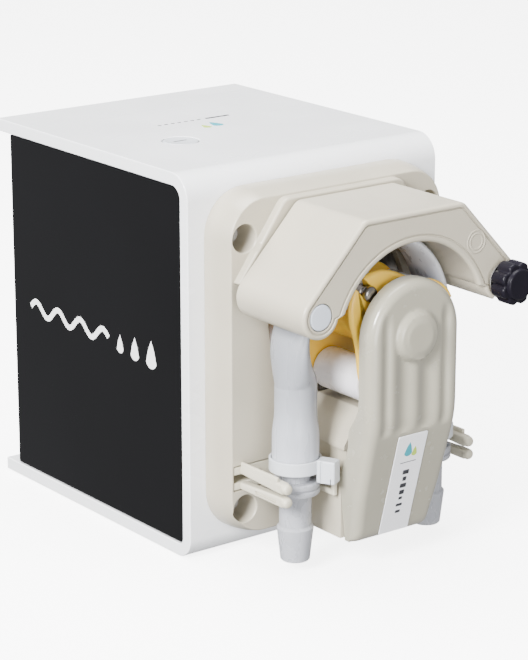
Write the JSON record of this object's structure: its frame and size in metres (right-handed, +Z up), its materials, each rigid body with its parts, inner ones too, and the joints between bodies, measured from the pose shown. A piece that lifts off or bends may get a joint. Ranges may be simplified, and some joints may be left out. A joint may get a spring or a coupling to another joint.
{
  "type": "peristaltic pump",
  "caption": "Bench-top dosing pump: boxed drive with a roller head, hinged pressure shoe, translucent tube and barbed hose ends",
  "frame": {"origin": "middle of the enclosure's underside", "axes": "+Z up, -Y the way the pump head faces, X across; the rotor turns about a line along Y"},
  "size_m": [0.12, 0.2008, 0.15],
  "materials": {
    "white_sheet": "bent acrylic sheet, satin gloss",
    "black_gloss": "high gloss acrylic",
    "beige_plastic": "moulded, satin",
    "cream_plastic": "moulded, satin",
    "amber_plastic": "moulded, satin",
    "white_roller": "turned, smooth",
    "clear_silicone": "translucent silicone",
    "clear_plastic": "translucent natural polypropylene",
    "white_plastic": "moulded",
    "black_knob": "glossy moulded",
    "pale_blue_plastic": "moulded",
    "label_film": "printed film",
    "steel": "turned",
    "zinc_steel": "zinc plated",
    "circuit_board": "solder mask",
    "dark_plastic": "moulded",
    "cast_aluminium": "cast and machined",
    "laminations": "stacked laminations"
  },
  "bodies": {
    "root": {"enclosure_wrap": "white_sheet", "left_side_panel": "black_gloss", "right_side_panel": "black_gloss", "rear_panel": "black_gloss", "button_switch": "dark_plastic", "control_board": "circuit_board", "power_jack": "dark_plastic", "head_base": "beige_plastic", "wear_plate": "steel", "front_cover": "beige_plastic", "cover_label": "label_film", "cover_bearing": "steel", "pivot_pin": "steel", "lock_stud": "steel", "tube_clip_left": "cream_plastic", "tube_clip_right": "cream_plastic", "pump_tube": "clear_silicone", "hose_barb_left": "clear_plastic", "hose_barb_right": "clear_plastic", "hose_clamp_left": "white_plastic", "hose_clamp_right": "white_plastic", "motor_front_flange": "cast_aluminium", "motor_stator": "laminations", "motor_rear_cap": "cast_aluminium", "motor_bearing_front": "steel", "motor_bearing_rear": "steel", "motor_screw_1": "steel", "motor_screw_2": "steel", "corner_block_1": "cream_plastic", "rear_screw_1": "steel", "mounting_screw_1": "zinc_steel", "mounting_nut_1": "zinc_steel", "corner_block_2": "cream_plastic", "rear_screw_2": "steel", "mounting_screw_2": "zinc_steel", "mounting_nut_2": "zinc_steel", "corner_block_3": "cream_plastic", "rear_screw_3": "steel", "mounting_screw_3": "zinc_steel", "mounting_nut_3": "zinc_steel", "corner_block_4": "cream_plastic", "rear_screw_4": "steel", "mounting_screw_4": "zinc_steel", "mounting_nut_4": "zinc_steel"},
    "rotor": {"rotor_body": "amber_plastic", "rotor_front_plate": "amber_plastic", "roller_pin_1": "steel", "roller_pin_2": "steel", "roller_pin_3": "steel", "drive_shaft": "steel", "motor_magnet_rotor": "laminations"},
    "first_roller": {"roller_1": "white_roller"},
    "second_roller": {"roller_2": "white_roller"},
    "third_roller": {"roller_3": "white_roller"},
    "shoe": {"pressure_arch": "beige_plastic", "pivot_cap": "pale_blue_plastic"},
    "washer": {"lock_washer": "steel"},
    "knob": {"lock_knob": "black_knob"},
    "button": {"power_button": "white_plastic"}
  },
  "joints": [
    {"name": "rotor_spin", "type": "hinge", "parent": "root", "child": "rotor", "pos_m": [0, -0.0985, 0.093], "axis": [0, 1, 0], "continuous": true},
    {"name": "first_roller_spin", "type": "hinge", "parent": "rotor", "child": "first_roller", "pos_m": [-0.01472, -0.0985, 0.10935], "axis": [0, 1, 0], "continuous": true},
    {"name": "second_roller_spin", "type": "hinge", "parent": "rotor", "child": "second_roller", "pos_m": [-0.0068, -0.0985, 0.07208], "axis": [0, 1, 0], "continuous": true},
    {"name": "third_roller_spin", "type": "hinge", "parent": "rotor", "child": "third_roller", "pos_m": [0.02152, -0.0985, 0.09757], "axis": [0, 1, 0], "continuous": true},
    {"name": "shoe_swing", "type": "hinge", "parent": "root", "child": "shoe", "pos_m": [-0.0432, -0.104, 0.107], "axis": [0, -1, 0], "range_deg": [0, 100]},
    {"name": "washer_slide", "type": "slide", "parent": "root", "child": "washer", "axis": [0, -1, 0], "range_m": [0, 0.004]},
    {"name": "knob_turn", "type": "hinge", "parent": "washer", "child": "knob", "pos_m": [0.0432, -0.13, 0.107], "axis": [0, -1, 0], "range_deg": [0, 1441]},
    {"name": "button_press", "type": "slide", "parent": "root", "child": "button", "axis": [0, 0, -1], "range_m": [0, 0.0008], "stiffness_N_per_m": 600, "springref_m": -0.001}
  ],
  "couplings": [
    {"joint": "first_roller_spin", "follows": "rotor_spin", "ratio": -3.75},
    {"joint": "second_roller_spin", "follows": "rotor_spin", "ratio": -3.75},
    {"joint": "third_roller_spin", "follows": "rotor_spin", "ratio": -3.75},
    {"joint": "knob_turn", "follows": "washer_slide", "rad_per_m": 6283.2}
  ]
}
